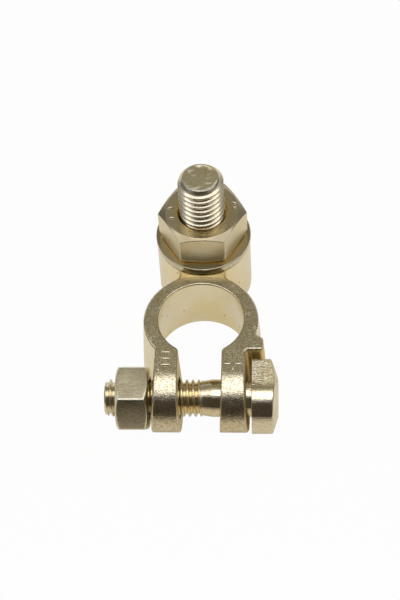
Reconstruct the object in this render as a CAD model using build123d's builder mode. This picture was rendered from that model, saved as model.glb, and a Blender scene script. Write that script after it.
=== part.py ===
from build123d import *
import os
from math import acos, atan2, cos, hypot, radians, sin, tan

# Battery terminal clamp: a cast split ring for a tapered battery post, drawn
# together by a bolt across its two ears, with a screwed stud for the cable
# eye on a boss behind the ring.
#
# Frame: X along the clamp bolt with its head at +X, +Y from the ring towards
# the stud, +Z up.  The origin is the centre of the post bore on the underside.
# All lengths are in millimetres and all angles in degrees.

# ------------------------------------------------------------------ driving sizes
# casting: ring
ring_height = 15.0  # underside to the flat top of the ring
post_r_top = 9.15  # post bore radius at the top face
post_taper = 1 / 9  # battery post taper, change of diameter along its length
ring_wall = 3.2  # ring wall at the top face
ring_setback = 0.3  # centre of the outside lies this far in front of the bore
draft_angle = 3.5  # cast walls lean out towards the underside
bore_round = 0.35  # broken edge round the bore and the inner sides of the ears
cast_round = 0.6  # soft edges left by the mould
throat_round = 1.0  # rounding where the bore opens into the gap

# casting: ears
gap_share = 0.505  # half of the gap between the ears over the bore radius, at the top face
gap_draft = 2.5  # the gap narrows towards the underside
ear_thickness = 4.98  # at the top face
ear_top_drop = 0.4  # top of the rounded end below the flat top; it touches the underside
ear_hole_clearance = 0.52  # radial, ear over the bolt's shank
ear_fall_back = 0.5  # the flat top ends this far behind the bolt and falls to the rounded end
ear_root_round = 0.8  # blend of the ring into the outer face of an ear
ear_shoulder_round = 8.0  # soft change of slope where the ear leaves the flat top

# casting: stop lug that keeps the bolt head from turning
lug_stand_out = 1.0  # outer face beyond the side of the ring, at the top
lug_clearance = 1.2  # the bolt head turns this far before it bears on the lug
lug_ahead = 0.13  # bearing face in front of the corner between ring and ear
lug_length = 3.1  # bearing face to the shoulder
lug_back = 1.7  # the back slopes to the ring over this length
lug_sink = 1.15  # the slope ends this far inside the side of the ring
lug_corner = 0.75  # rounded corners in plan
lug_root_round = 0.6  # blend of the lug's back into the ring

# casting: neck and stud boss
boss_r = 10.35
boss_overlap = 0.3  # ring and boss run into each other by this much
seat_rise = 0.3  # faced seat stands this far above the ring
seat_inset = 0.65  # rim of the seat inside the side of the boss
boss_draft = 0.5
neck_share = 0.413  # half of the waist over the radius of the ring
neck_ring_share = 0.8  # roundings in the corners of the waist, over its length
neck_boss_share = 0.6

# M8 clamp bolt and nut
bolt_r = 3.95  # over the thread
bolt_root_r = 3.27  # bottom of the thread
bolt_pitch = 1.25
bolt_thread_turn = 71.0  # where the thread is cut in
bolt_shank_r = 3.98
bolt_neck_r = 3.65  # rolled shank next to the thread
bolt_thread_past = 0.3  # thread ends this far to the right of the middle
bolt_step_length = 2.3  # the rolled neck widens to the full shank over this length
bolt_point_r = 3.35
bolt_point_length = 0.9
bolt_stickout = 2.5  # bolt end beyond the nut
bolt_runout = 0.3  # last turn of the thread fades over this length
head_gap = 0.9  # head to the outer face of the ear, at the bolt axis
head_length = 5.6
head_half_height = 6.5
head_front_round = 5.6
head_back = 6.0  # bolt axis to the flat that meets the lug
head_back_round = 0.8
head_dome_r = 4.0  # flat in the middle of the end of the head
head_dome_drop = 1.1  # fall of the end cone at the front of the head
head_dome_round = 3.0
head_end_round = 0.5
clamp_nut_af = 13.0  # across flats
clamp_nut_height = 6.9
clamp_nut_turn = 54.0  # a corner points up and forwards by this angle
clamp_nut_gap = 0.2  # nut to the widest point of the ear

# M10 stud, washer and nut
stud_r = 4.95  # over the thread
stud_root_r = 4.12  # bottom of the thread
stud_pitch = 1.5
stud_thread_turn = -36.0  # where the thread is cut in
stud_top_rise = 20.0  # stud above the seat
stud_point_r = 3.9
stud_point_length = 1.2
stud_point_round = 0.25
stud_head_chamfer = 0.5
stud_neck_r = 5.4  # plain stretch that is pressed into the boss
stud_neck_below_seat = 0.6
stud_head_af = 15.0  # hexagon head in the underside of the boss
stud_head_turn = 0.0
stud_head_height = 4.0
stud_head_inset = 0.4
washer_r = 10.5
washer_bore_r = 5.3
washer_thickness = 1.5
washer_edge = 0.2
stud_nut_af = 16.9
stud_nut_height = 7.8
stud_nut_turn = 1.2

# thread form, over the pitch
thread_crest_share = 0.16
thread_root_share = 0.2

# fits
thread_clearance = 0.05  # radial, nut over thread
pocket_clearance = 0.02  # stud and its head in the casting
nut_mouth = 0.6  # countersink at both ends of a nut, radial
nut_chamfer_angle = 30.0
nut_chamfer_circle = 0.945  # chamfer circle over the width across flats

# ------------------------------------------------------------------ values that follow
ring_r = post_r_top + ring_wall
gap_half = post_r_top * gap_share
ear_outer = gap_half + ear_thickness
ear_r = (ring_height - ear_top_drop) / 2
ear_corner_y = -((ring_r**2 - ear_outer**2) ** 0.5) - ring_setback
lug_front_y = ear_corner_y - lug_ahead
bolt_y = lug_front_y - lug_clearance - head_back
bolt_z = ear_r
ear_hole_r = bolt_shank_r + ear_hole_clearance
ear_root_y = bolt_y + ear_fall_back
lug_x = ring_r + lug_stand_out
lug_shoulder_y = lug_front_y + lug_length
lug_root_x = ring_r - lug_sink
lug_root_y = lug_shoulder_y + lug_back
neck_half = ring_r * neck_share
stud_y = ring_r - ring_setback - boss_overlap + boss_r
post_r_bottom = post_r_top + ring_height * post_taper / 2
ear_front_y = bolt_y - ear_r
ear_lean = tan(radians(draft_angle))
ear_x_at_bolt = ear_outer + (ring_height - bolt_z) * ear_lean
ear_x_widest = ear_outer + ring_height * ear_lean
seat_z = ring_height + seat_rise
head_x = ear_x_at_bolt + head_gap
nut_x = -(ear_x_widest + clamp_nut_gap)
bolt_end_x = nut_x - clamp_nut_height - bolt_stickout
nut_seat_z = seat_z + washer_thickness
stud_top_z = seat_z + stud_top_rise
pocket_af = stud_head_af + 2 * pocket_clearance
head_end_x = head_x + head_length
head_front = ear_r
head_cone_r = 2 * head_front
head_cone_x = head_end_x - head_dome_drop * (head_cone_r - head_dome_r) / (head_front - head_dome_r)
bolt_step_x = bolt_thread_past + bolt_step_length
head_width = head_front + head_back
stud_thread_start_z = seat_z - stud_neck_below_seat + stud_neck_r - stud_r

# the ear top leaves the ring as a line tangent to the rounded end
ear_rise = ring_height - bolt_z
ear_run = ear_root_y - bolt_y
tangent_angle = atan2(ear_rise, ear_run) + acos(ear_r / hypot(ear_rise, ear_run))
ear_tangent = (bolt_y + ear_r * cos(tangent_angle), bolt_z + ear_r * sin(tangent_angle))
back_y = stud_y + 1.5 * boss_r
gap_foot_half = gap_half - ring_height * tan(radians(gap_draft))

bolt_axis = Axis((0, bolt_y, bolt_z), (1, 0, 0))
stud_axis = Axis((0, stud_y, 0), (0, 0, 1))
bolt_profile_plane = Plane((0, bolt_y, bolt_z), x_dir=(1, 0, 0), z_dir=(0, -1, 0))
stud_profile_plane = Plane((0, stud_y, 0), x_dir=(1, 0, 0), z_dir=(0, -1, 0))

os.makedirs("parts", exist_ok=True)


def turned(points, plane, axis, mode=Mode.ADD):
    """Revolve a closed half profile about an axis that lies in its plane."""
    with BuildSketch(plane) as half:
        with BuildLine():
            Polyline(*points, close=True)
        make_face()
    revolve(half.sketch, axis=axis, mode=mode)


def upright(part, x, y):
    """The wall edge of a casting that stands on a corner of its plan."""
    standing = part.edges().filter_by(lambda edge: abs(edge.tangent_at(0.5).Z) > 0.9)
    return standing.sort_by_distance((x, y, ring_height / 2))[0]


def leaves_ring(start, end):
    """Where a line in plan crosses the outside of the ring."""
    run_x = end[0] - start[0]
    run_y = end[1] - start[1]
    from_y = start[1] + ring_setback
    half_b = start[0] * run_x + from_y * run_y
    square = run_x**2 + run_y**2
    rest = start[0] ** 2 + from_y**2 - ring_r**2
    share = (-half_b - (half_b**2 - square * rest) ** 0.5) / square
    return (start[0] + share * run_x, start[1] + share * run_y)


def circle_at(face, radius):
    """The round edge of a flat face that has the given radius."""
    rounds = face.edges().filter_by(GeomType.CIRCLE)
    return rounds.sort_by(lambda edge: abs(edge.radius - radius))[0]


def threaded_rod(plane, crest_r, root_r, pitch, length, turn):
    """A rod along a plane's normal; its right-hand thread stops one pitch inside both ends."""
    half_root = pitch * thread_root_share / 2
    half_mouth = pitch * (1 - thread_crest_share) / 2
    depth = crest_r - root_r
    widening = (half_mouth - half_root) / depth
    cutter_r = crest_r + depth / 3
    half_cutter = half_mouth + widening * depth / 3
    with BuildPart() as groove:
        with BuildLine() as path:
            Helix(pitch, length - 2 * pitch, crest_r, center=(0, 0, pitch))
        with BuildSketch(Plane((0, 0, pitch), x_dir=(1, 0, 0), z_dir=(0, -1, 0))) as cutter:
            with BuildLine():
                Polyline(
                    (root_r, -half_root),
                    (cutter_r, -half_cutter),
                    (cutter_r, half_cutter),
                    (root_r, half_root),
                    close=True,
                )
            make_face()
        sweep(cutter.sketch, path=path.line, is_frenet=True)
    with BuildPart() as rod:
        Cylinder(crest_r, length, align=(Align.CENTER, Align.CENTER, Align.MIN))
        add(groove.part, mode=Mode.SUBTRACT)
    return rod.part.moved(plane.location * Rotation(0, 0, turn))


def hexagon_nut(seat, across_flats, height, thread_r, turn):
    """A hexagon nut that stands on a seat plane, chamfered at both ends."""
    corner_r = across_flats / 2 / cos(radians(30))
    circle_r = across_flats / 2 * nut_chamfer_circle
    fall = (corner_r - circle_r) * tan(radians(nut_chamfer_angle))
    bore_r = thread_r + thread_clearance
    mouth_r = bore_r + nut_mouth
    axis = Axis(seat.origin, seat.z_dir)
    half_plane = Plane(seat.origin, x_dir=seat.x_dir, z_dir=-seat.y_dir)
    blank = [
        (0, 0),
        (circle_r, 0),
        (corner_r, fall),
        (corner_r, height - fall),
        (circle_r, height),
        (0, height),
    ]
    hole = [
        (0, 0),
        (mouth_r, 0),
        (bore_r, nut_mouth),
        (bore_r, height - nut_mouth),
        (mouth_r, height),
        (0, height),
    ]
    with BuildPart() as nut:
        with BuildSketch(seat):
            RegularPolygon(across_flats / 2, 6, major_radius=False, rotation=turn)
        extrude(amount=height)
        turned(blank, half_plane, axis, Mode.INTERSECT)
        turned(hole, half_plane, axis, Mode.SUBTRACT)
    return nut


# ------------------------------------------------------------------ cast clamp body
with BuildPart() as clamp_body:
    # Plan of the ring, the block that becomes the ears, the neck, the stud
    # boss and the lug; the walls then lean out by the draft of the mould.
    with BuildSketch(Plane.XY.offset(ring_height)):
        with Locations((0, -ring_setback)):
            Circle(ring_r)
        with Locations((0, stud_y)):
            Circle(boss_r)
        with Locations((0, ear_front_y)):
            Rectangle(2 * ear_outer, -ear_front_y, align=(Align.CENTER, Align.MIN))
        Rectangle(2 * neck_half, stud_y, align=(Align.CENTER, Align.MIN))
        with BuildLine():
            Polyline(
                (gap_half, lug_front_y),
                (lug_x, lug_front_y),
                (lug_x, lug_shoulder_y),
                (lug_root_x, lug_root_y),
                (gap_half, lug_root_y),
                close=True,
            )
        make_face()
    extrude(amount=-ring_height)
    walls = clamp_body.faces().filter_by(Plane.XY, reverse=True)
    boss_wall = walls.sort_by(Axis.Y)[-1]
    draft(walls - [boss_wall], Plane.XY.offset(ring_height), draft_angle)
    boss_wall = clamp_body.faces().filter_by(Plane.XY, reverse=True).sort_by(Axis.Y)[-1]
    draft(boss_wall, Plane.XY.offset(ring_height), boss_draft)

    # Blends between the walls.
    ring_corner_y = (ring_r**2 - neck_half**2) ** 0.5 - ring_setback
    boss_corner_y = stud_y - (boss_r**2 - neck_half**2) ** 0.5
    neck_length = boss_corner_y - ring_corner_y
    lug_foot = leaves_ring((lug_x, lug_shoulder_y), (lug_root_x, lug_root_y))
    for side_x in (-neck_half, neck_half):
        fillet(upright(clamp_body, side_x, ring_corner_y), neck_ring_share * neck_length)
        fillet(upright(clamp_body, side_x, boss_corner_y), neck_boss_share * neck_length)
    fillet(upright(clamp_body, -ear_outer, ear_corner_y), ear_root_round)
    fillet(upright(clamp_body, ear_outer, lug_front_y), ear_root_round)
    fillet(upright(clamp_body, lug_x, lug_front_y), lug_corner)
    fillet(upright(clamp_body, lug_x, lug_shoulder_y), lug_corner)
    fillet(upright(clamp_body, *lug_foot), lug_root_round)

    # The ears fall away to a round end about the bolt; the profile is seen
    # from the side and cuts the whole casting down to its outline.
    with BuildSketch(Plane.YZ) as side:
        with BuildLine():
            Line((ear_root_y, ring_height), ear_tangent)
            ThreePointArc(ear_tangent, (ear_front_y, bolt_z), (bolt_y, 0))
            Polyline(
                (bolt_y, 0),
                (back_y, 0),
                (back_y, ring_height),
                (ear_root_y, ring_height),
            )
        make_face()
        shoulder = side.vertices().sort_by_distance((ear_root_y, ring_height))[0]
        fillet(shoulder, ear_shoulder_round)
    extrude(amount=2 * ring_r, both=True, mode=Mode.INTERSECT)

    # The mould leaves one soft edge that runs round the top, down the ends of
    # the ears and back round the underside.
    flat_top = clamp_body.faces().filter_by(Plane.XY).sort_by(Axis.Z)[-1]
    fillet(circle_at(flat_top, boss_r), cast_round)

    # Gap between the ears, and the bore for the tapered post.
    with BuildSketch(Plane.XZ):
        with BuildLine():
            Polyline(
                (-gap_half, ring_height),
                (gap_half, ring_height),
                (gap_foot_half, 0),
                (-gap_foot_half, 0),
                close=True,
            )
        make_face()
    extrude(amount=-ear_front_y, mode=Mode.SUBTRACT)
    post = [
        (0, 0),
        (post_r_bottom, 0),
        (post_r_top, ring_height),
        (0, ring_height),
    ]
    turned(post, Plane.XZ, Axis.Z, Mode.SUBTRACT)
    throat_y = -((post_r_top**2 - gap_half**2) ** 0.5)
    for side_x in (-gap_half, gap_half):
        fillet(upright(clamp_body, side_x, throat_y), throat_round)

    # Bore, throat and the inner sides of the ears share one broken edge.
    flat_top = clamp_body.faces().filter_by(Plane.XY).sort_by(Axis.Z)[-1]
    fillet(circle_at(flat_top, post_r_top), bore_round)

    # Faced seat for the washer.
    with BuildSketch(Plane.XY.offset(ring_height)):
        with Locations((0, stud_y)):
            Circle(boss_r - seat_inset)
    extrude(amount=seat_rise)

    # Clearance hole for the bolt through both ears, and the stepped hole that
    # the stud is pressed into from below, with a pocket for its hexagon head.
    with BuildSketch(Plane.YZ):
        with Locations((bolt_y, bolt_z)):
            Circle(ear_hole_r)
    extrude(amount=ear_x_widest, both=True, mode=Mode.SUBTRACT)
    with BuildSketch(Plane.XY):
        with Locations((0, stud_y)):
            RegularPolygon(pocket_af / 2, 6, major_radius=False, rotation=stud_head_turn)
    extrude(amount=stud_head_inset + stud_head_height, mode=Mode.SUBTRACT)
    with BuildSketch(Plane.XY):
        with Locations((0, stud_y)):
            Circle(stud_neck_r + pocket_clearance)
    extrude(amount=seat_z, mode=Mode.SUBTRACT)

clamp_body.part.label = "clamp_body"
export_step(clamp_body.part, "parts/clamp_body.step")

# ------------------------------------------------------------------ clamp bolt
with BuildPart() as bolt_thread:
    # The thread is wound on a rod that is too long at both ends and is then
    # turned down to its point and to the runout at the neck.
    rod_start = Plane(
        (bolt_thread_past + 2 * bolt_pitch, bolt_y, bolt_z),
        x_dir=(0, -1, 0),
        z_dir=(-1, 0, 0),
    )
    rod_length = bolt_thread_past - bolt_end_x + 4 * bolt_pitch
    add(threaded_rod(rod_start, bolt_r, bolt_root_r, bolt_pitch, rod_length, bolt_thread_turn))
    thread_ends = [
        (bolt_end_x, 0),
        (bolt_end_x, bolt_point_r),
        (bolt_end_x + 2 * bolt_point_length, 2 * bolt_r - bolt_point_r),
        (bolt_thread_past - bolt_runout, 2 * bolt_r - bolt_neck_r),
        (bolt_thread_past + 2 * bolt_runout, 2 * bolt_neck_r - bolt_r),
        (bolt_thread_past + 2 * bolt_runout, 0),
    ]
    turned(thread_ends, bolt_profile_plane, bolt_axis, Mode.INTERSECT)

with BuildPart() as clamp_bolt:
    # The head is a block with a round front; its flat back stands against the
    # stop lug, and its end is a low cone.
    with BuildSketch(Plane((head_x, bolt_y, bolt_z), x_dir=(0, 1, 0), z_dir=(1, 0, 0))) as head:
        with Locations((-head_front, 0)):
            Rectangle(head_width, 2 * head_half_height, align=(Align.MIN, Align.CENTER))
        fillet(head.vertices().group_by(Axis.X)[0], head_front_round)
        fillet(head.vertices().group_by(Axis.X)[-1], head_back_round)
    extrude(amount=head_length)
    head_cone = [
        (head_x, 0),
        (head_x, head_cone_r),
        (head_cone_x, head_cone_r),
        (head_end_x, head_dome_r),
        (head_end_x, 0),
    ]
    turned(head_cone, bolt_profile_plane, bolt_axis, Mode.INTERSECT)
    head_end = clamp_bolt.faces().sort_by(Axis.X)[-1]
    fillet(head_end.edges(), head_dome_round)
    head_rim = clamp_bolt.faces().filter_by(GeomType.CONE).sort_by(Axis.X)[-1].edges()
    fillet(head_rim.filter_by(GeomType.CIRCLE, reverse=True), head_end_round)
    shank = [
        (bolt_thread_past, 0),
        (bolt_thread_past, bolt_neck_r),
        (bolt_thread_past + bolt_runout, bolt_neck_r),
        (bolt_step_x, bolt_shank_r),
        (head_x, bolt_shank_r),
        (head_x, 0),
    ]
    turned(shank, bolt_profile_plane, bolt_axis)
    add(bolt_thread.part)

clamp_bolt.part.label = "clamp_bolt"
export_step(clamp_bolt.part, "parts/clamp_bolt.step")

# ------------------------------------------------------------------ clamp nut
clamp_nut = hexagon_nut(
    Plane((nut_x, bolt_y, bolt_z), x_dir=(0, -1, 0), z_dir=(-1, 0, 0)),
    clamp_nut_af,
    clamp_nut_height,
    bolt_r,
    clamp_nut_turn,
)
clamp_nut.part.label = "clamp_nut"
export_step(clamp_nut.part, "parts/clamp_nut.step")

# ------------------------------------------------------------------ stud
with BuildPart() as stud_thread:
    # Wound like the bolt's thread, then turned down to its point.
    rod_start = Plane((0, stud_y, stud_thread_start_z))
    rod_length = stud_top_z - stud_thread_start_z + 2 * stud_pitch
    add(threaded_rod(rod_start, stud_r, stud_root_r, stud_pitch, rod_length, stud_thread_turn))
    thread_ends = [
        (0, stud_thread_start_z),
        (2 * stud_r - stud_point_r, stud_thread_start_z),
        (2 * stud_r - stud_point_r, stud_top_z - 2 * stud_point_length),
        (stud_point_r, stud_top_z),
        (0, stud_top_z),
    ]
    turned(thread_ends, stud_profile_plane, stud_axis, Mode.INTERSECT)
    fillet(circle_at(stud_thread.faces().sort_by(Axis.Z)[-1], stud_point_r), stud_point_round)

with BuildPart() as stud:
    with BuildSketch(Plane.XY.offset(stud_head_inset)):
        with Locations((0, stud_y)):
            RegularPolygon(stud_head_af / 2, 6, major_radius=False, rotation=stud_head_turn)
    extrude(amount=stud_head_height)
    chamfer(stud.faces().sort_by(Axis.Z)[0].edges(), stud_head_chamfer)
    stem = [
        (0, stud_head_inset),
        (stud_neck_r, stud_head_inset),
        (stud_neck_r, seat_z - stud_neck_below_seat),
        (stud_r, stud_thread_start_z),
        (0, stud_thread_start_z),
    ]
    turned(stem, stud_profile_plane, stud_axis)
    add(stud_thread.part)

stud.part.label = "stud"
export_step(stud.part, "parts/stud.step")

# ------------------------------------------------------------------ stud washer
with BuildPart() as stud_washer:
    with BuildSketch(Plane.XY.offset(seat_z)):
        with Locations((0, stud_y)):
            Circle(washer_r)
            Circle(washer_bore_r, mode=Mode.SUBTRACT)
    extrude(amount=washer_thickness)
    fillet(stud_washer.edges().filter_by(GeomType.CIRCLE), washer_edge)

stud_washer.part.label = "stud_washer"
export_step(stud_washer.part, "parts/stud_washer.step")

# ------------------------------------------------------------------ stud nut
stud_nut = hexagon_nut(
    Plane((0, stud_y, nut_seat_z)),
    stud_nut_af,
    stud_nut_height,
    stud_r,
    stud_nut_turn,
)
stud_nut.part.label = "stud_nut"
export_step(stud_nut.part, "parts/stud_nut.step")
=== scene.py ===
# %% [markdown]
# # Battery terminal clamp
# A clamp like this grips the post of a car battery with a split ring. A bolt
# across two ears closes the ring, and a stud on a boss behind it holds the
# cable. All of it is cast or turned metal under a pale yellow zinc plating.
#
# The six solids of the construction come first, because the sizes and places
# below are measured from them. Lengths are in metres, so the millimetre gets a
# name of its own.

import bmesh
import bpy
from math import ceil, cos, pi, radians, sin
from mathutils import Matrix, Vector
from mathutils.kdtree import KDTree


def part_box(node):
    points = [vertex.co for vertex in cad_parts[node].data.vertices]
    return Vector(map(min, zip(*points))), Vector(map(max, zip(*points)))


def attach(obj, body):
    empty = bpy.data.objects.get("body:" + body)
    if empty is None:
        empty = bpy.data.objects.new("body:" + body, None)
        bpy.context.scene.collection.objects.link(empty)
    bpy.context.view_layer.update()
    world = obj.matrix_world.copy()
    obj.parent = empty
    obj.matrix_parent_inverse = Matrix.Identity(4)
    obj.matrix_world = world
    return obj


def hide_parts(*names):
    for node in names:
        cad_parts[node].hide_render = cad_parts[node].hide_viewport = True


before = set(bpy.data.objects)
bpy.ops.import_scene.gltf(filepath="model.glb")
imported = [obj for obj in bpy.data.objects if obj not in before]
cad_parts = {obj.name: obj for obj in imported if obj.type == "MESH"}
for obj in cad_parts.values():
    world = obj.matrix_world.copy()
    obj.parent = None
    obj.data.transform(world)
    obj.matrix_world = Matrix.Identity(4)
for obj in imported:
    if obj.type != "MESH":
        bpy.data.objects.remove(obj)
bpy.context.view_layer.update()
MM = 0.001
print("solids", sorted(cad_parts))

# %% [markdown]
# ## Camera
# The clamp is seen from the front and from high above, a little from its right.
# A camera can be turned by hand, but two angles and a roll say the same in
# numbers that can be read and changed one by one. A long lens far away keeps the
# upright edges nearly parallel, as is usual for a small product.

# %% Camera
camera_azimuth = 0.0828
camera_elevation = 0.9248
camera_roll = -0.0667
camera_distance = 318.6 * MM
camera_offset = (-0.391 * MM, 6.866 * MM)
camera_target = Vector((0, 0, 10 * MM))
camera_lens = 88.12
camera_sensor = 36
camera_range = (0.01, 10)


def camera_axes(azimuth, elevation, roll):
    """Right, up and backward directions of a camera that looks down at the clamp."""
    back = Vector((sin(azimuth) * cos(elevation), -cos(azimuth) * cos(elevation), sin(elevation)))
    level = Vector((cos(azimuth), sin(azimuth), 0))
    upright = back.cross(level)
    right = level * cos(roll) + upright * sin(roll)
    up = upright * cos(roll) - level * sin(roll)
    return right, up, back


def new_object(name, data):
    """Put a mesh, a light or a camera into the scene."""
    made = bpy.data.objects.new(name, data)
    bpy.context.scene.collection.objects.link(made)
    return made


right, up, back = camera_axes(camera_azimuth, camera_elevation, camera_roll)
camera_data = bpy.data.cameras.new("camera")
camera_data.lens = camera_lens
camera_data.sensor_width = camera_sensor
camera_data.clip_start, camera_data.clip_end = camera_range
camera = new_object("camera", camera_data)
place = camera_target + back * camera_distance
place += right * camera_offset[0] + up * camera_offset[1]
camera.matrix_world = Matrix.Translation(place) @ Matrix((right, up, back)).transposed().to_4x4()
bpy.context.scene.camera = camera
print("camera at", tuple(round(v, 4) for v in camera.location))

# %% [markdown]
# ## Node helpers
# Light, finish and thread are all made of nodes. Nodes can be added and linked
# one line at a time, which takes many lines. These helpers take a node's inputs
# as values or as the outputs of other nodes, so a formula reads like a formula.

# %% Node helpers
def feed(tree, socket, value):
    """Set an input: a link where the value is a node's output, otherwise a number or colour."""
    if isinstance(value, bpy.types.NodeSocket):
        tree.links.new(value, socket)
    else:
        socket.default_value = value


def node(tree, kind, inputs=None, **settings):
    """Add a node; the inputs map the name or number of a socket to what feeds it."""
    made = tree.nodes.new(kind)
    for name, value in settings.items():
        setattr(made, name, value)
    for key, value in (inputs or {}).items():
        feed(tree, made.inputs[key], value)
    return made


def math(tree, operation, first, second=None):
    """The result of one calculation."""
    inputs = {0: first} if second is None else {0: first, 1: second}
    return node(tree, "ShaderNodeMath", inputs, operation=operation).outputs[0]


def times(tree, first, second):
    """The product of two values."""
    return math(tree, "MULTIPLY", first, second)


def larger(tree, first, second):
    """The larger of two values: it lays one mask over another."""
    return math(tree, "MAXIMUM", first, second)


def spread(tree, value, low, high, to_low=0.0, to_high=1.0):
    """Map the range from low to high onto another range, and stop at its ends."""
    inputs = {0: value, 1: low, 2: high, 3: to_low, 4: to_high}
    return node(tree, "ShaderNodeMapRange", inputs).outputs[0]


def axes(tree, vector):
    """The X, Y and Z outputs of a vector."""
    return node(tree, "ShaderNodeSeparateXYZ", {0: vector}).outputs


# %% [markdown]
# ## Colour helpers
# Tones blend in two ways here: between two colours by a mask, and along a ramp
# of stops, where a value picks its place.

# %% Colour helpers
def blend(tree, mask, first, second):
    """The first colour where the mask is 0, and the second where it is 1."""
    inputs = {"Factor": mask, 6: first, 7: second}
    return node(tree, "ShaderNodeMix", inputs, data_type="RGBA").outputs[2]


def ramp(tree, value, stops):
    """The colour at a value, between (place, colour) stops."""
    made = node(tree, "ShaderNodeValToRGB", {0: value})
    elements = made.color_ramp.elements
    while len(elements) < len(stops):
        elements.new(0.5)
    for element, (position, colour) in zip(elements, stops):
        element.position = position
        element.color = (*colour, 1)
    return made.outputs[0]


def grey(level):
    """A neutral tone."""
    return (level, level, level)


# %% [markdown]
# ## Room
# Polished metal shows its room more than its own colour. A panorama could be
# the room, but bands of tone give the same long reflections and each can be set
# by itself. The room is dark in front, where a card keeps light off the metal,
# olive at the back, grey at the sides and bright overhead. Each ramp runs from
# the horizon at 0 to the zenith at 1. The camera sees plain white instead.

# %% Room
dark_card = (0.060, 0.051, 0.037)
olive_wall = (0.27, 0.245, 0.17)
room_front = [(0.0, dark_card), (0.60, dark_card), (0.70, grey(0.12)), (0.80, grey(0.9))]
room_back = [
    (0.0, grey(0.9)),
    (0.28, grey(0.7)),
    (0.34, olive_wall),
    (0.76, olive_wall),
    (0.82, grey(0.9)),
]
room_side = [(0.0, grey(0.10)), (0.22, grey(0.14)), (0.5, grey(0.6)), (0.85, grey(0.9))]
front_to_back = (-0.15, 0.15)
middle_to_side = (0.45, 0.75)
white = (1, 1, 1, 1)


def light_room():
    """A world of tone bands, with a white backdrop for the camera alone."""
    world = bpy.data.worlds.new("studio")
    world.use_nodes = True
    tree = world.node_tree
    tree.nodes.clear()
    direction = axes(tree, node(tree, "ShaderNodeTexCoord").outputs["Generated"])
    height = math(tree, "DIVIDE", math(tree, "ARCSINE", direction["Z"]), pi / 2)
    front, rear, side = (ramp(tree, height, tones) for tones in (room_front, room_back, room_side))
    room = blend(tree, spread(tree, direction["Y"], *front_to_back), front, rear)
    aside = spread(tree, math(tree, "ABSOLUTE", direction["X"]), *middle_to_side)
    room = node(tree, "ShaderNodeBackground", {0: blend(tree, aside, room, side), 1: 1.0})
    backdrop = node(tree, "ShaderNodeBackground", {0: white, 1: 1.0})
    seen = node(tree, "ShaderNodeLightPath").outputs["Is Camera Ray"]
    either = node(tree, "ShaderNodeMixShader", {0: seen, 1: room.outputs[0], 2: backdrop.outputs[0]})
    node(tree, "ShaderNodeOutputWorld", {0: either.outputs[0]})
    return world


bpy.context.scene.view_settings.view_transform = "Standard"
world = light_room()
bpy.context.scene.world = world
print("room of", len(world.node_tree.nodes), "nodes")

# %% [markdown]
# ## Table
# The clamp stands on a white table whose near side lies in the dark, and the
# lower faces of the metal show that. That dark is painted shade: the table's own
# colour darkens towards the front. One table could be white for the camera and
# another one dark for the metal, but then the shadow would belong to neither.
# This is one matte table under a veil of white that is thick for the camera; for
# the metal the veil is a thin, warm painted glow that lightens what it mirrors.

# %% Table
table_half = 0.6
# painted shade: the table's colour grows dark towards the front
table_painted_shade = [
    (0.0, (0.90, 0.86, 0.77)),
    (0.22, (0.78, 0.67, 0.50)),
    (0.5, (0.37, 0.31, 0.22)),
    (1.0, (0.05, 0.04, 0.028)),
]
# painted glow: a warm light that only reflections of the near table show
table_painted_glow = (1.0, 0.94, 0.80, 1)
painted_shade_span = (-12 * MM, -95 * MM)
veil_for_camera = (0.97, 1.0)
# strength of the painted glow in reflections, near and far
painted_glow_for_metal = (0.47, 0.0)


def new_material(name):
    """An empty material, its node tree and the input that its shader goes into."""
    material = bpy.data.materials.new(name)
    material.use_nodes = True
    tree = material.node_tree
    tree.nodes.clear()
    return material, tree, node(tree, "ShaderNodeOutputMaterial").inputs[0]


def table_material():
    """Matte painted shade along Y, under the veil and its painted glow."""
    material, tree, surface = new_material("table")
    spot = axes(tree, node(tree, "ShaderNodeTexCoord").outputs["Object"])
    fade = spread(tree, spot["Y"], *painted_shade_span)
    ray = node(tree, "ShaderNodeLightPath").outputs
    matte = node(tree, "ShaderNodeBsdfDiffuse", {0: ramp(tree, fade, table_painted_shade)})
    tint = blend(tree, ray["Is Glossy Ray"], white, table_painted_glow)
    glow = node(tree, "ShaderNodeEmission", {0: tint, 1: 1.0})
    camera_part = times(tree, ray["Is Camera Ray"], spread(tree, fade, 0.0, 1.0, *veil_for_camera))
    painted_glow_part = times(tree, ray["Is Glossy Ray"], spread(tree, fade, 0.0, 1.0, *painted_glow_for_metal))
    veil = math(tree, "ADD", camera_part, painted_glow_part)
    mixed = node(tree, "ShaderNodeMixShader", {0: veil, 1: matte.outputs[0], 2: glow.outputs[0]})
    feed(tree, surface, mixed.outputs[0])
    return material


corners = [(x * table_half, y * table_half, 0) for x, y in ((-1, -1), (1, -1), (1, 1), (-1, 1))]
table_mesh = bpy.data.meshes.new("table")
table_mesh.from_pydata(corners, [], [(0, 1, 2, 3)])
table_mesh.materials.append(table_material())
table = new_object("table", table_mesh)
print("table", 2 * table_half, "m across")

# %% [markdown]
# ## Lamp
# The round pieces carry one broad bright band along their top, and the thread
# one on each crest. Several small lamps would break that band up, and a far one
# would thin it, so a single long soft box hangs close above the clamp. Its power
# follows from its area and from how bright its face should be.

# %% Lamp
lamp_height = 0.2
lamp_size = (0.5, 0.116)
lamp_forward = 0.014
lamp_radiance = 0.98

lamp_data = bpy.data.lights.new("overhead", "AREA")
lamp_data.shape = "RECTANGLE"
lamp_data.size, lamp_data.size_y = lamp_size
lamp_data.energy = pi * lamp_size[0] * lamp_size[1] * lamp_radiance
lamp = new_object("overhead", lamp_data)
lamp.location = (0, -lamp_forward, lamp_height)
lamp.visible_camera = False
print("lamp of", round(lamp_data.energy, 3), "W")

# %% [markdown]
# ## Surfaces
# Every piece is plated alike, bright where it is smooth and dull where the mould
# or the tools left it rough. A whole material could be copied for each piece and
# changed, but the copies would drift apart. Each effect is a shader group with
# named sockets instead, built once and placed wherever it is needed.

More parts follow.
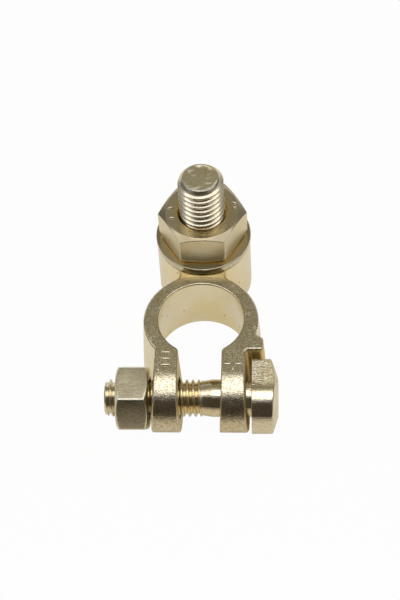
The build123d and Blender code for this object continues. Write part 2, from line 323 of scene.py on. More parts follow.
# %% Group helpers
def new_tree(kind, name, inputs, outputs):
    """An empty tree with named sockets; an input is a number, or its kind where it has none."""
    tree = bpy.data.node_groups.new(name, kind)
    for label, default in inputs.items():
        if isinstance(default, str):
            tree.interface.new_socket(name=label, in_out="INPUT", socket_type="NodeSocket" + default)
            continue
        number = "NodeSocketInt" if isinstance(default, int) else "NodeSocketFloat"
        socket = tree.interface.new_socket(name=label, in_out="INPUT", socket_type=number)
        socket.default_value = default
    for label, result in outputs.items():
        tree.interface.new_socket(name=label, in_out="OUTPUT", socket_type="NodeSocket" + result)
    return tree, node(tree, "NodeGroupInput").outputs, node(tree, "NodeGroupOutput").inputs


def use_group(tree, group, **values):
    """Place a group and return its outputs."""
    return node(tree, "ShaderNodeGroup", values, node_tree=group).outputs


def noise(tree, vector, waves, detail=3, rough=0.5):
    """Soft noise with this number of waves per metre."""
    inputs = {"Vector": vector, "Scale": waves, "Detail": detail, "Roughness": rough}
    return node(tree, "ShaderNodeTexNoise", inputs).outputs["Fac"]


# %% [markdown]
# ## Sand grain
# A casting takes the grain of its mould. Modelled grain would take millions of
# faces, and it is too small to change the outline. Noise in two sizes gives the
# height for a bump, and masks of the hollows, where dirt stays, and of the peaks,
# which are rubbed bright.

# %% Sand grain
fine_share = 0.72
coarse_share = 0.28
coarse_waves = 0.4
hollow_from_to = (0.50, 0.41)
peak_from_to = (0.54, 0.62)
noise_reach = (0.3, 0.7)


def grain_group():
    """Grain in two sizes, its hollows and its peaks."""
    inputs = {"Vector": "Vector", "Waves": 2600.0, "Height": 0.01 * MM}
    outputs = {"Height": "Float", "Hollows": "Float", "Peaks": "Float"}
    tree, given, results = new_tree("ShaderNodeTree", "cast_grain", inputs, outputs)
    fine = noise(tree, given["Vector"], given["Waves"], rough=0.6)
    coarse = noise(tree, given["Vector"], times(tree, given["Waves"], coarse_waves), detail=2)
    both = math(tree, "ADD", times(tree, fine, fine_share), times(tree, coarse, coarse_share))
    level = spread(tree, both, *noise_reach, -1.0, 1.0)
    feed(tree, results["Height"], times(tree, level, given["Height"]))
    feed(tree, results["Hollows"], spread(tree, both, *hollow_from_to))
    feed(tree, results["Peaks"], spread(tree, both, *peak_from_to))
    return tree


cast_grain = grain_group()
print(cast_grain.name, len(cast_grain.nodes), "nodes")

# %% [markdown]
# ## Tool lines
# Turning, drawing and grinding leave fine parallel lines. Stripes of one width
# would look printed, so the lines are noise as well. The material squeezes the
# coordinates in one direction before they come in, which draws the noise out.

# %% Tool lines
line_from_to = (0.52, 0.66)


def tool_group():
    """Fine lines: a height, and a mask of the deepest ones."""
    inputs = {"Vector": "Vector", "Waves": 4000.0, "Depth": 0.002 * MM}
    outputs = {"Height": "Float", "Lines": "Float"}
    tree, given, results = new_tree("ShaderNodeTree", "tool_lines", inputs, outputs)
    lay = noise(tree, given["Vector"], given["Waves"], rough=0.65)
    level = spread(tree, lay, *noise_reach, -1.0, 1.0)
    feed(tree, results["Height"], times(tree, level, given["Depth"]))
    feed(tree, results["Lines"], spread(tree, lay, *line_from_to))
    return tree


tool_lines = tool_group()
print(tool_lines.name, len(tool_lines.nodes), "nodes")

# %% [markdown]
# ## Pits
# Gas leaves a few small round pits in the smooth walls of a casting. They could
# be cut into the mesh, but there would be many cuts for little to see. A cell
# texture places them: a cell has a pit only if its random colour falls within
# the share that is asked for, and that colour also sets the pit's size.

# %% Pits
def pit_group():
    """A mask of small round pits."""
    inputs = {"Vector": "Vector", "Waves": 500.0, "Share": 0.1, "Radius": 0.2}
    tree, given, results = new_tree("ShaderNodeTree", "pits", inputs, {"Mask": "Float"})
    where = {"Vector": given["Vector"], "Scale": given["Waves"]}
    cells = node(tree, "ShaderNodeTexVoronoi", where).outputs
    chance = node(tree, "ShaderNodeSeparateColor", {0: cells["Color"]}).outputs
    chosen = math(tree, "LESS_THAN", chance[0], given["Share"])
    near = math(tree, "LESS_THAN", cells["Distance"], times(tree, given["Radius"], chance[1]))
    feed(tree, results["Mask"], times(tree, chosen, near))
    return tree


pits = pit_group()
print(pits.name, len(pits.nodes), "nodes")

# %% [markdown]
# ## Worn edges
# No edge of a used tool or nut is sharp, and the plating is thin there. Rounding
# every edge in the mesh would be heavy. The Bevel node rounds only the shading,
# and where its normal turns away from the true one, it marks the worn strip.

# %% Worn edges
edge_samples = 8
wear_from_to = (0.995, 0.93)


def edge_group():
    """Normals of rounded edges, and a mask of the strip along them."""
    outputs = {"Normal": "Vector", "Wear": "Float"}
    tree, given, results = new_tree("ShaderNodeTree", "edge_wear", {"Radius": 0.2 * MM}, outputs)
    rounded = node(tree, "ShaderNodeBevel", {"Radius": given["Radius"]}, samples=edge_samples).outputs[0]
    true_normal = node(tree, "ShaderNodeNewGeometry").outputs["Normal"]
    both = {0: rounded, 1: true_normal}
    turn = node(tree, "ShaderNodeVectorMath", both, operation="DOT_PRODUCT").outputs["Value"]
    feed(tree, results["Normal"], rounded)
    feed(tree, results["Wear"], spread(tree, turn, *wear_from_to))
    return tree


edge_wear = edge_group()
print(edge_wear.name, len(edge_wear.nodes), "nodes")

# %% [markdown]
# ## Plating
# Zinc with a yellow passivation is never one colour. It is pale on flat bright
# faces, deeper in patches, duller over rough metal, amber where the bath drains
# last, brown where dirt stays and nearly white where it is rubbed. The same brown
# also serves as painted shade on level faces and on chamfers. One group lays
# these tones over each other, so that each material only says where.

# %% Plating
plating_pale = (0.89, 0.83, 0.67, 1)
plating_deep = (0.85, 0.75, 0.51, 1)
plating_dull = (0.69, 0.64, 0.50, 1)
plating_amber = (0.90, 0.70, 0.30, 1)
# the same brown also paints shade on level faces and on a chamfer
stain_and_shade_brown = (0.34, 0.26, 0.14, 1)
worn_bright = (0.96, 0.94, 0.88, 1)
patch_waves = 120
patch_from_to = (0.40, 0.66)
haze_waves = 300
haze_rough = (-0.03, 0.05)
stain_rough = 0.08


def plating_group():
    """Colour and roughness of the plating over metal of a given roughness."""
    masks = {"Stain And Shade": 0.0, "Wear": 0.0, "Dullness": 0.0, "Amber": 0.0}
    inputs = {"Vector": "Vector", **masks, "Roughness": 0.2}
    outputs = {"Color": "Color", "Roughness": "Float"}
    tree, given, results = new_tree("ShaderNodeTree", "plating", inputs, outputs)
    patches = spread(tree, noise(tree, given["Vector"], patch_waves, rough=0.55), *patch_from_to)
    colour = blend(tree, patches, plating_pale, plating_deep)
    tones = {"Dullness": plating_dull, "Amber": plating_amber, "Stain And Shade": stain_and_shade_brown, "Wear": worn_bright}
    for mask, tone in tones.items():
        colour = blend(tree, given[mask], colour, tone)
    haze = spread(tree, noise(tree, given["Vector"], haze_waves, detail=2), *noise_reach, *haze_rough)
    rough = math(tree, "ADD", given["Roughness"], haze)
    rough = math(tree, "ADD", rough, times(tree, given["Stain And Shade"], stain_rough))
    feed(tree, results["Color"], colour)
    feed(tree, results["Roughness"], spread(tree, rough, 0.0, 1.0))
    return tree


plating = plating_group()
print(plating.name, len(plating.nodes), "nodes")

# %% [markdown]
# ## Metal
# Under the plating every piece is the same bare metal, so the last step is the
# same for all: edge and plating groups, a bump for the height, and one metal
# shader that stays in the material itself.

# %% Metal
def metal_shader(
    tree, surface, vector, height, stain, rough, edge_radius, wear, dull=0.0, amber=0.0, rubbed=0.0
):
    """Join a height, a roughness and the masks to the plating and the metal shader."""
    edge = use_group(tree, edge_wear, Radius=edge_radius)
    worn = larger(tree, times(tree, edge["Wear"], wear), rubbed)
    masks = {"Stain And Shade": stain, "Wear": worn, "Dullness": dull, "Amber": amber}
    finish = use_group(tree, plating, Vector=vector, Roughness=rough, **masks)
    relief = {"Strength": 1.0, "Distance": 1.0, "Height": height, "Normal": edge["Normal"]}
    bump = node(tree, "ShaderNodeBump", relief).outputs[0]
    looks = {"Base Color": finish["Color"], "Roughness": finish["Roughness"], "Normal": bump}
    metal = node(tree, "ShaderNodeBsdfPrincipled", {"Metallic": 1.0, **looks})
    feed(tree, surface, metal.outputs[0])


# %% [markdown]
# ## Zones of the casting
# The mould leaves the top and the fronts of the ears grainy, while the walls and
# the bore come out smooth. The neck between ring and boss is smooth and amber,
# and so are the sides of the ears and the pocket beside the right one. The mesh
# could be painted face by face. Masks made from the way a face looks and from
# its place do the same, and they follow when the shape changes.

# %% Zones of the casting
top_facing = (0.5, 0.85)
front_facing = (0.7, 0.5)
side_facing = (0.6, 0.9)
ears_from_to = (-8 * MM, -10 * MM)
neck_from_to = (8.8 * MM, 11.6 * MM)
neck_width = (9.5 * MM, 5.0 * MM)
pocket_left = 8.2 * MM
pocket_back = -3.5 * MM
print("pocket beyond x", round(pocket_left / MM, 1), "mm")


def cast_zones(tree, spot, facing):
    """Masks of the casting from the axes of a point and of its normal."""
    sideways = math(tree, "ABSOLUTE", facing["X"])
    top = spread(tree, facing["Z"], *top_facing)
    ears = spread(tree, spot["Y"], *ears_from_to)
    fronts = times(tree, spread(tree, sideways, *front_facing), ears)
    sides = times(tree, spread(tree, sideways, *side_facing), ears)
    width = spread(tree, math(tree, "ABSOLUTE", spot["X"]), *neck_width)
    around_neck = times(tree, spread(tree, spot["Y"], *neck_from_to), width)
    neck = times(tree, around_neck, top)
    raw = times(tree, larger(tree, top, fronts), math(tree, "SUBTRACT", 1.0, neck))
    smooth = math(tree, "SUBTRACT", 1.0, raw)
    beyond = math(tree, "GREATER_THAN", spot["X"], pocket_left)
    before = math(tree, "LESS_THAN", spot["Y"], pocket_back)
    pocket = times(tree, times(tree, beyond, before), smooth)
    return {
        "top": top,
        "raw": raw,
        "smooth": smooth,
        "neck": neck,
        "around_neck": around_neck,
        "sides": sides,
        "pocket": pocket,
    }


# %% [markdown]
# ## Cast metal
# The casting has the grain on its raw zones, a trace of it elsewhere, and pits in
# the smooth walls. The neck also climbs a little towards the boss, as the fillet
# of a casting does. That climb is so slight that a bump can carry it.

# %% Cast metal
grain_waves = 3000.0
cast_grain_height = 0.016 * MM
grain_on_walls = 0.12
pit_values = {"Waves": 900.0, "Share": 0.16, "Radius": 0.24}
pit_depth = 0.03 * MM
pit_stain = 0.9
hollow_stain = 0.65
peak_wear = 0.7
fillet_start = 9.9 * MM
fillet_climb = 0.085
cast_rough = {"walls": 0.16, "raw": 0.22, "neck": 0.30, "sides": 0.5, "pocket": 0.5}
cast_amber = {"sides": 0.7, "walls": 0.45, "top": 0.9, "pocket": 0.8}
mottle_waves = 110
mottle_from_to = (0.42, 0.62)
mottle_amber = (0.05, 0.2)
cast_dull = 0.75
cast_edge = {"edge_radius": 0.15 * MM, "wear": 0.3}


def cast_height(tree, spot, zone, grain, hole):
    """Grain, pits and the fillet of the neck, in metres."""
    share = spread(tree, zone["raw"], 0.0, 1.0, grain_on_walls, 1.0)
    height = math(tree, "SUBTRACT", times(tree, grain, share), times(tree, hole, pit_depth))
    climb = larger(tree, math(tree, "SUBTRACT", spot["Y"], fillet_start), 0.0)
    return math(tree, "ADD", height, times(tree, times(tree, climb, fillet_climb), zone["neck"]))


def cast_material():
    """The casting: grainy and dull where it is raw, smooth and amber in its corners."""
    material, tree, surface = new_material("cast_metal")
    place = node(tree, "ShaderNodeTexCoord").outputs
    vector = place["Object"]
    spot = axes(tree, vector)
    zone = cast_zones(tree, spot, axes(tree, place["Normal"]))
    grain = use_group(tree, cast_grain, Vector=vector, Waves=grain_waves, Height=cast_grain_height)
    hole = times(tree, use_group(tree, pits, Vector=vector, **pit_values)["Mask"], zone["smooth"])
    height = cast_height(tree, spot, zone, grain["Height"], hole)
    speck = times(tree, times(tree, grain["Hollows"], zone["raw"]), hollow_stain)
    stain = larger(tree, speck, times(tree, hole, pit_stain))
    rubbed = times(tree, times(tree, grain["Peaks"], zone["raw"]), peak_wear)
    rough = spread(tree, zone["raw"], 0.0, 1.0, cast_rough["walls"], cast_rough["raw"])
    for name in ("neck", "sides", "pocket"):
        rough = larger(tree, rough, times(tree, zone[name], cast_rough[name]))
    amber = larger(tree, zone["around_neck"], times(tree, zone["sides"], cast_amber["sides"]))
    on_top = spread(tree, zone["top"], 0.0, 1.0, cast_amber["walls"], cast_amber["top"])
    amber = times(tree, amber, on_top)
    mottle = spread(tree, noise(tree, vector, mottle_waves, rough=0.55), *mottle_from_to, *mottle_amber)
    amber = larger(tree, amber, mottle)
    amber = larger(tree, amber, times(tree, zone["pocket"], cast_amber["pocket"]))
    dull = times(tree, zone["raw"], cast_dull)
    masks = {"dull": dull, "amber": amber, "rubbed": rubbed}
    metal_shader(tree, surface, vector, height, stain, rough, **cast_edge, **masks)
    return material


cast_metal = cast_material()
print(cast_metal.name, len(cast_metal.node_tree.nodes), "nodes")

# %% [markdown]
# ## Helpers for turned and cut metal
# Amber gathers round the axis of a screw or a nut, where threads hold the bath
# back, so the distance from an axis is needed. A core says where: the axis, the
# directions across it, the radius inside which the plating is amber, the width
# of its soft edge, and the height or length past which it ends.

# %% Axis helpers
core_amber = 0.7
rim_edge = (-0.03 * MM, -0.01 * MM)
rim_stain = 0.5


def from_axis(tree, vector, middle, across):
    """Distance from an axis through a point; across is 1 in the directions that count."""
    shift = node(tree, "ShaderNodeVectorMath", {0: vector, 1: middle}, operation="SUBTRACT").outputs[0]
    flat = node(tree, "ShaderNodeVectorMath", {0: shift, 1: across}, operation="MULTIPLY").outputs[0]
    return node(tree, "ShaderNodeVectorMath", {0: flat}, operation="LENGTH").outputs["Value"]


def core_masks(tree, vector, spot, core, rim):
    """Amber inside a core, and the brown of rubbed crests beyond its rim."""
    far = from_axis(tree, vector, core["middle"], core["across"])
    upright = core["across"][2] == 0
    along = spot["Z"] if upright else math(tree, "ABSOLUTE", spot["X"])
    before_end = math(tree, "LESS_THAN", along, core["end"])
    amber = spread(tree, far, core["radius"], core["radius"] - core["soft"], 0.0, core_amber)
    rubbed = spread(tree, far, rim + rim_edge[0], rim + rim_edge[1], 0.0, rim_stain) if rim else 0.0
    return times(tree, amber, before_end), times(tree, rubbed, before_end)


# %% [markdown]
# ## Turned and cut metal
# Nuts, washer, stud and bolt differ only in how their tool went and in what the
# bath left on them. Six separate materials would repeat most of their nodes, so
# one function makes them all, and each piece names its own values. What a piece
# doesn't name is left out of its tree.

# %% Turned and cut metal
machined_grain_height = 0.003 * MM
line_waves = 3600.0
flank_to_top = (0.2, 0.5)
top_to_level = (0.5, 0.9)
chamfer_facing = (0.6, 0.8)
chamfer_end = (0.99, 0.95)
foot_height = 1.3 * MM
foot_amber = 0.8


def machined_stain_and_shade(tree, facing, marks, painted_top_shade, painted_chamfer_shade):
    """Marks of the tool, and painted shade on level faces and on a chamfer."""
    # painted shade: faces that look up are darkened
    if painted_top_shade:
        marks = larger(tree, marks, spread(tree, facing["Z"], *top_to_level, 0.0, painted_top_shade))
    # painted shade: the chamfer is darkened by the way it faces
    if painted_chamfer_shade:
        slope = spread(tree, facing["Z"], *chamfer_facing, 0.0, painted_chamfer_shade)
        marks = larger(tree, marks, times(tree, slope, spread(tree, facing["Z"], *chamfer_end)))
    return marks


def machined_material(
    name, stretch, depth, stain, rough, edge_radius, wear, dull=0.0, painted_top_shade=0.0, painted_chamfer_shade=0.0,
    flank_rough=None, streaks=None, core=None, rim=None, foot=None,
):
    """A turned, cut or forged piece: lines along its tool's path over a faint grain.

    Amber gathers inside the core and below the foot, crests past the rim are
    rubbed, streaks deepen the lines in one part, and flank_rough is for faces
    that don't look up.
    """
    material, tree, surface = new_material(name)
    place = node(tree, "ShaderNodeTexCoord").outputs
    vector = place["Object"]
    spot = axes(tree, vector)
    facing = axes(tree, place["Normal"])
    grain = use_group(tree, cast_grain, Vector=vector, Waves=grain_waves, Height=machined_grain_height)
    along = node(tree, "ShaderNodeMapping", {"Vector": vector, "Scale": stretch}).outputs[0]
    lines = use_group(tree, tool_lines, Vector=along, Waves=line_waves, Depth=depth)
    height = math(tree, "ADD", grain["Height"], lines["Height"])
    marks = times(tree, larger(tree, grain["Hollows"], lines["Lines"]), stain)
    marks = machined_stain_and_shade(tree, facing, marks, painted_top_shade, painted_chamfer_shade)
    amber = 0.0
    if flank_rough:
        rough = spread(tree, facing["Z"], *flank_to_top, flank_rough, rough)
        dull = spread(tree, facing["Z"], *flank_to_top, 0.0, dull)
    if streaks:
        zone = spread(tree, spot["Y"], *streaks["y_from_to"], 0.0, streaks["strength"])
        zone = times(tree, zone, math(tree, "GREATER_THAN", spot["X"], streaks["x_from"]))
        height = math(tree, "ADD", height, times(tree, lines["Height"], zone))
    if core:
        amber, rubbed = core_masks(tree, vector, spot, core, rim)
        marks = larger(tree, marks, rubbed)
    if foot:
        amber = larger(tree, amber, spread(tree, spot["Z"], foot - foot_height, foot, foot_amber, 0.0))
    metal_shader(tree, surface, vector, height, marks, rough, edge_radius, wear, dull, amber)
    return material


# %% [markdown]
# ## Axes of the screws
# The stud stands upright behind the ring and the bolt lies across the ears. Both
# axes are read from the boxes of the solids, so finish and thread stay in place
# when a size of the construction changes.

# %% Axes of the screws
stud_low, stud_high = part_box("stud")
nut_low, nut_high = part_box("clamp_nut")
stud_axis_y = (stud_low.y + stud_high.y) / 2
bolt_axis_y = (nut_low.y + nut_high.y) / 2
bolt_axis_z = (nut_low.z + nut_high.z) / 2
print("stud at y", round(stud_axis_y / MM, 2), "mm")
print("bolt at y and z", round(bolt_axis_y / MM, 2), round(bolt_axis_z / MM, 2), "mm")

# %% [markdown]
# ## Finish of the stud, its nut and its washer
# The stud is turned and bright, with amber in its grooves and rubbed crests. The
# nut is ground dull on top and rougher on its flats, with painted shade on its
# top and on its chamfer, and amber stands where it meets the washer. The washer
# is flat and fine, with painted shade on its top.
# One shared finish would make the three run into each other where they meet, so
# each has its own values, and the amber cores share one axis.

# %% Finish of the stud, its nut and its washer
def upright_core(radius, soft, end):
    """A core round the stud's axis."""
    middle = (0, stud_axis_y, 0)
    return {"middle": middle, "across": (1, 1, 0), "radius": radius, "soft": soft, "end": end}


stud_metal = machined_material(
    "stud_metal",
    stretch=(1, 1, 1),
    depth=0.002 * MM,
    stain=0.2,
    rough=0.20,
    edge_radius=0.12 * MM,
    wear=0.6,
    core=upright_core(4.35 * MM, 0.25 * MM, stud_high.z - 1.2 * MM),
    rim=4.95 * MM,
)
stud_nut_metal = machined_material(
    "stud_nut_metal",
    stretch=(0.15, 0.15, 1),
    depth=0.0015 * MM,
    stain=0.12,
    rough=0.15,
    edge_radius=0.25 * MM,
    wear=0.7,
    dull=0.6,
    # painted shade on the nut's top and on its chamfer
    painted_top_shade=0.15,
    painted_chamfer_shade=0.7,
    flank_rough=0.34,
    core=upright_core(6.2 * MM, 0.25 * MM, stud_high.z),
    foot=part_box("stud_nut")[0].z + 1.4 * MM,
)
washer_metal = machined_material(
    "washer_metal",
    stretch=(0.3, 1, 1),
    depth=0.0005 * MM,
    stain=0.5,
    rough=0.07,
    edge_radius=0.15 * MM,
    wear=0.6,
    dull=1.0,
    # painted shade on the washer's top
    painted_top_shade=0.4,
    core=upright_core(9.9 * MM, 1.4 * MM, stud_high.z),
)
print("finishes", stud_metal.name, stud_nut_metal.name, washer_metal.name)

# %% [markdown]
# ## Finish of the bolt, its nut and the marks
# The bolt's head has deep streaks on its rear half, as a forging die leaves
# them, and a smooth front half. The clamp nut's edges are round and bright. The
# raised marks stand clear of the dirt, so they have less stain than the rest.

# %% Finish of the bolt, its nut and the marks
bolt_metal = machined_material(
    "bolt_metal",
    stretch=(0.15, 1, 1),
    depth=0.005 * MM,
    stain=0.35,
    rough=0.14,
    edge_radius=0.25 * MM,
    wear=0.6,
    streaks={
        "x_from": 10.5 * MM,
        "y_from_to": (bolt_axis_y - 1.4 * MM, bolt_axis_y + 0.4 * MM),
        "strength": 5.0,
    },
    core={
        "middle": (0, bolt_axis_y, bolt_axis_z),
        "across": (0, 1, 1),
        "radius": 3.6 * MM,
        "soft": 0.25 * MM,
        "end": 11 * MM,
    },
)
clamp_nut_metal = machined_material(
    "clamp_nut_metal",
    stretch=(0.3, 1, 1),
    depth=0.0007 * MM,
    stain=0.3,
    rough=0.16,
    edge_radius=0.6 * MM,
    wear=1.0,
    dull=0.7,
)
mark_metal = machined_material(
    "mark_metal",
    stretch=(1, 1, 1),
    depth=0.001 * MM,
    stain=0.1,
    rough=0.2,
    edge_radius=0.05 * MM,
    wear=0.5,
)
finish_of = {
    "clamp_body": cast_metal,
    "clamp_bolt": bolt_metal,
    "clamp_nut": clamp_nut_metal,
    "stud": stud_metal,
    "stud_washer": washer_metal,
    "stud_nut": stud_nut_metal,
}
for name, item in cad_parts.items():
    item.data.materials.clear()
    item.data.materials.append(finish_of[name])
    print(name, "has", finish_of[name].name)

# %% [markdown]
# ## Threads
# A rolled thread has one groove that winds round the screw and fades out at both
# ends. A screw modifier on a drawn profile would leave open ends to trim. Here a
# node tree bends a flat grid, one pitch wide, into the groove: one side of the
# grid counts the turns and the other runs across. The point of the screw trims
# the radius, so the thread thins out along the chamfer as a real one does.

# %% Wound groove
thread_steps = 72
thread_rows = 21
crest_share = 0.2
root_share = 0.24
print(thread_steps, "steps a turn,", thread_rows - 1, "strips across the groove")


def unit_grid(tree, columns, rows):
    """A flat grid, with its shares from 0 to 1 along the columns and across the rows."""
    counts = {"Vertices X": columns, "Vertices Y": rows}
    grid = node(tree, "GeometryNodeMeshGrid", {"Size X": 1.0, "Size Y": 1.0, **counts})
    spot = axes(tree, node(tree, "GeometryNodeInputPosition").outputs[0])
    along = math(tree, "ADD", spot["X"], 0.5)
    across = math(tree, "ADD", spot["Y"], 0.5)
    return grid.outputs["Mesh"], along, across


def bent(tree, mesh, angle, radius, level):
    """Move the points of a mesh to an angle, a radius and a level round the Z axis."""
    x = times(tree, math(tree, "COSINE", angle), radius)
    y = times(tree, math(tree, "SINE", angle), radius)
    place = node(tree, "ShaderNodeCombineXYZ", {0: x, 1: y, 2: level}).outputs[0]
    moved = node(tree, "GeometryNodeSetPosition", {"Geometry": mesh, "Position": place})
    return moved.outputs[0]


def wound_groove(tree, given):
    """The groove along +Z from z = 0, with a crest, two flanks and a root."""
    columns = math(tree, "ADD", times(tree, given["Turns"], thread_steps), 1)
    mesh, along, across = unit_grid(tree, columns, thread_rows)
    turns = times(tree, along, given["Turns"])
    rise = math(tree, "SUBTRACT", math(tree, "ADD", turns, across), 1.0)
    level = larger(tree, times(tree, rise, given["Pitch"]), 0.0)
    level = math(tree, "MINIMUM", level, given["Length"])
    from_root = math(tree, "ABSOLUTE", math(tree, "SUBTRACT", across, 0.5))
    flank = spread(tree, from_root, root_share / 2, 0.5 - crest_share / 2)
    full = larger(tree, flank, spread(tree, level, 0.0, given["Runout"], 1.0, 0.0))
    crest = given["Crest Radius"]
    radius = spread(tree, full, 0.0, 1.0, given["Root Radius"], crest)
    left = math(tree, "SUBTRACT", given["Length"], level)
    point = spread(tree, left, 0.0, given["Point Length"], given["Point Radius"], crest)
    start = spread(tree, level, 0.0, given["Start Length"], given["Start Radius"], crest)
    radius = math(tree, "MINIMUM", math(tree, "MINIMUM", radius, point), start)
    return bent(tree, mesh, times(tree, turns, 2 * pi), radius, level)


# %% [markdown]
# ## End faces
# The end of a sheared and rolled screw is a shallow, slightly uneven dish. A flat
# disc would look cut by a laser. The same kind of grid is bent into rings here,
# with noise that fades towards the middle, where the rings close to a pole.

# %% End face
end_rings = 19
dish_power = 5.0
lump_waves = 420
calm_middle = 0.45
lump_gain = 2.0
print(end_rings, "rings on an end face")


def end_face(tree, given):
    """The dish that closes the screw at its length."""
    mesh, along, reach = unit_grid(tree, thread_steps + 1, end_rings)
    spoke = times(tree, along, 2 * pi)
    ring = times(tree, reach, given["Point Radius"])
    x = times(tree, math(tree, "COSINE", spoke), ring)
    y = times(tree, math(tree, "SINE", spoke), ring)
    flat = node(tree, "ShaderNodeCombineXYZ", {0: x, 1: y}).outputs[0]
    dish = math(tree, "SUBTRACT", 1.0, math(tree, "POWER", reach, dish_power))
    uneven = math(tree, "SUBTRACT", noise(tree, flat, lump_waves, detail=1), 0.5)
    off_pole = spread(tree, reach, 0.0, calm_middle, 0.0, lump_gain)
    lump = times(tree, times(tree, uneven, given["Lumps"]), times(tree, dish, off_pole))
    sunk = larger(tree, math(tree, "SUBTRACT", times(tree, dish, given["Dish"]), lump), 0.0)
    return bent(tree, mesh, spoke, ring, math(tree, "SUBTRACT", given["Length"], sunk))


# %% [markdown]
# ## Thread tree
# Groove and end face meet on one circle and are welded there. The inputs are the
# sizes that differ between the two screws. A tree ends with its instances made
# real and its material set, so that a plain mesh can be taken from it.

# %% Thread tree
thread_weld = 0.002 * MM
thread_inputs = {
    "Crest Radius": 4.95 * MM,
    "Root Radius": 4.05 * MM,
    "Pitch": 1.5 * MM,
    "Length": 18 * MM,
    "Point Radius": 4.0 * MM,
    "Point Length": 1.2 * MM,
    "Start Radius": 4.95 * MM,
    "Start Length": 0.3 * MM,
    "Runout": 1.0 * MM,
    "Dish": 0.2 * MM,
    "Lumps": 0.05 * MM,
    "Turns": 14,
    "Material": "Material",
}


def end_tree(tree, mesh, given, results):
    """Realize the instances, set the material and give out the geometry."""
    real = node(tree, "GeometryNodeRealizeInstances", {0: mesh}).outputs[0]
    painted = node(tree, "GeometryNodeSetMaterial", {"Geometry": real, "Material": given["Material"]})
    feed(tree, results[0], painted.outputs[0])


def thread_tree():
    """Geometry Nodes tree of one thread with its end face."""
    outputs = {"Geometry": "Geometry"}
    tree, given, results = new_tree("GeometryNodeTree", "rolled_thread", thread_inputs, outputs)
    joined = node(tree, "GeometryNodeJoinGeometry")
    for part in (wound_groove(tree, given), end_face(tree, given)):
        feed(tree, joined.inputs[0], part)
    weld = {"Geometry": joined.outputs[0], "Distance": thread_weld}
    welded = node(tree, "GeometryNodeMergeByDistance", weld)
    end_tree(tree, welded.outputs[0], given, results)
    return tree


rolled_thread = thread_tree()
print(rolled_thread.name, len(rolled_thread.nodes), "nodes")

# %% [markdown]
# ## Meshes from trees
# A node tree needs an object to run on. A modifier could stay live on the piece,
# but a plain mesh is simpler to join and to export, so the tree runs on a
# carrier that is removed once its result has been copied.

# %% Mesh from a tree
def from_tree(name, tree, values):
    """The plain mesh that a tree makes with these inputs."""
    carrier = new_object(name, bpy.data.meshes.new(name))
    modifier = carrier.modifiers.new(name, "NODES")
    modifier.node_group = tree
    for item in tree.interface.items_tree:
        if item.in_out == "INPUT" and item.name in values:
            modifier[item.identifier] = values[item.name]
    bpy.context.view_layer.update()
    graph = bpy.context.evaluated_depsgraph_get()
    made = bpy.data.meshes.new_from_object(carrier.evaluated_get(graph))
    bpy.data.objects.remove(carrier)
    made.name = name
    return made


# %% [markdown]
# ## Turned parts of the screws
# Head, shank and hexagon are right as they are in the solids, so only the thread
# is made anew. The faces to keep are copied and welded, because a solid's mesh
# is loose triangles. Welding loses the normals that shade the rounded edges, and
# they are copied back for every face that has a twin in the solid.

# %% Turned part of a screw
weld_distance = 0.001 * MM
twin_distance = 0.003 * MM
crease_angle = radians(35)


def kept_faces(node_name, keep):
    """A welded copy of a solid's mesh with only the faces that pass the test."""
    shape = bmesh.new()
    shape.from_mesh(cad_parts[node_name].data)
    bmesh.ops.remove_doubles(shape, verts=shape.verts, dist=weld_distance)
    gone = [face for face in shape.faces if not keep(face)]
    bmesh.ops.delete(shape, geom=gone, context="FACES")
    return shape


def loop_point(mesh, loop):
    """Where a corner of a face lies."""
    return mesh.vertices[mesh.loops[loop].vertex_index].co


def copy_normals(mesh, source):
    """Give the faces that a mesh shares with a solid the corner normals they have there."""
    middles = KDTree(len(source.polygons))
    for face in source.polygons:
        middles.insert(face.center, face.index)
    middles.balance()
    normals = []
    for face in mesh.polygons:
        index, gap = middles.find(face.center)[1:]
        twin = source.polygons[index].loop_indices
        for loop in face.loop_indices:
            corner = loop_point(mesh, loop)
            near = min(twin, key=lambda i: (loop_point(source, i) - corner).length)
            normals.append(source.corner_normals[near].vector if gap < twin_distance else Vector())
    mesh.normals_split_custom_set(normals)


def threaded_piece(node_name, body, keep, move, values, material):
    """Stand in for a screw with its turned part and a wound thread, joined in one mesh."""
    shape = kept_faces(node_name, keep)
    thread = from_tree(node_name + "_thread", rolled_thread, {**values, "Material": material})
    thread.transform(move)
    shape.from_mesh(thread)
    bmesh.ops.recalc_face_normals(shape, faces=shape.faces)
    for face in shape.faces:
        face.material_index = 0
        face.smooth = True
    mesh = bpy.data.meshes.new(node_name + "_piece")
    shape.to_mesh(mesh)
    shape.free()
    mesh.materials.append(material)
    mesh.set_sharp_from_angle(angle=crease_angle)
    copy_normals(mesh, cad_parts[node_name].data)
    piece = new_object(node_name + "_piece", mesh)
    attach(piece, body)
    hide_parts(node_name)
    print(piece.name, len(mesh.polygons), "faces")


# %% [markdown]
# ## Stud
# The stud is pressed into the boss from below and never turns, so it rides with
# the casting. Its thread has a pitch of 1.5 mm and runs from inside its washer
# to a short point. The angle turns the thread so that its last crest comes out where
# it does on the real one.

